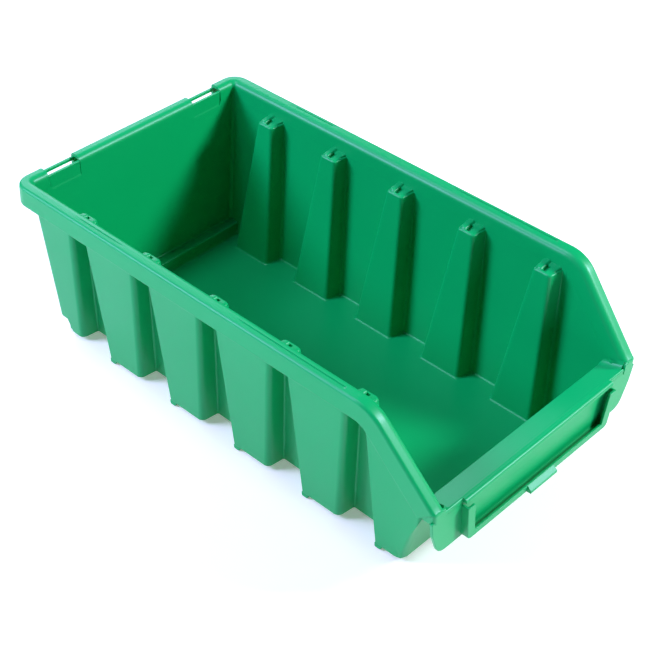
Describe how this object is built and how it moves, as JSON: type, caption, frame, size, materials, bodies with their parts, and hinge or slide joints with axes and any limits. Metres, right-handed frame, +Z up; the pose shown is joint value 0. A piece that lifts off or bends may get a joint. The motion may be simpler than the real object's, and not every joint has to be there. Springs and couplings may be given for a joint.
{
  "type": "stackable storage bin",
  "caption": "Open-fronted stackable plastic storage bin with ribbed sides, a flanged rim, rear hanging slots and a label holder.",
  "frame": {"origin": "centre of the bounding box in plan, on the surface the feet stand on", "axes": "+X to the right seen from the open front, +Y to the rear, +Z up"},
  "size_m": [0.201, 0.358, 0.122],
  "materials": {
    "green_plastic": "semi-gloss moulded green polypropylene"
  },
  "bodies": {
    "root": {"floor": "green_plastic", "rear_step": "green_plastic", "rear_wall": "green_plastic", "front_wall": "green_plastic", "left_panel_1": "green_plastic", "left_panel_2": "green_plastic", "left_panel_3": "green_plastic", "left_panel_4": "green_plastic", "left_panel_5": "green_plastic", "left_panel_6": "green_plastic", "right_panel_1": "green_plastic", "right_panel_2": "green_plastic", "right_panel_3": "green_plastic", "right_panel_4": "green_plastic", "right_panel_5": "green_plastic", "right_panel_6": "green_plastic", "left_pilaster_1": "green_plastic", "left_pilaster_2": "green_plastic", "left_pilaster_3": "green_plastic", "left_pilaster_4": "green_plastic", "left_pilaster_5": "green_plastic", "right_pilaster_1": "green_plastic", "right_pilaster_2": "green_plastic", "right_pilaster_3": "green_plastic", "right_pilaster_4": "green_plastic", "right_pilaster_5": "green_plastic", "left_rim": "green_plastic", "right_rim": "green_plastic", "left_front_rim": "green_plastic", "right_front_rim": "green_plastic", "left_rear_corner": "green_plastic", "right_rear_corner": "green_plastic", "rear_rim": "green_plastic", "left_hanging_bar": "green_plastic", "right_hanging_bar": "green_plastic", "front_lip": "green_plastic", "left_front_pad": "green_plastic", "right_front_pad": "green_plastic", "left_skirt": "green_plastic", "right_skirt": "green_plastic", "label_panel": "green_plastic", "left_label_guide": "green_plastic", "right_label_guide": "green_plastic", "label_rail": "green_plastic", "label_tab": "green_plastic", "left_feet": "green_plastic", "right_feet": "green_plastic"}
  },
  "joints": []
}
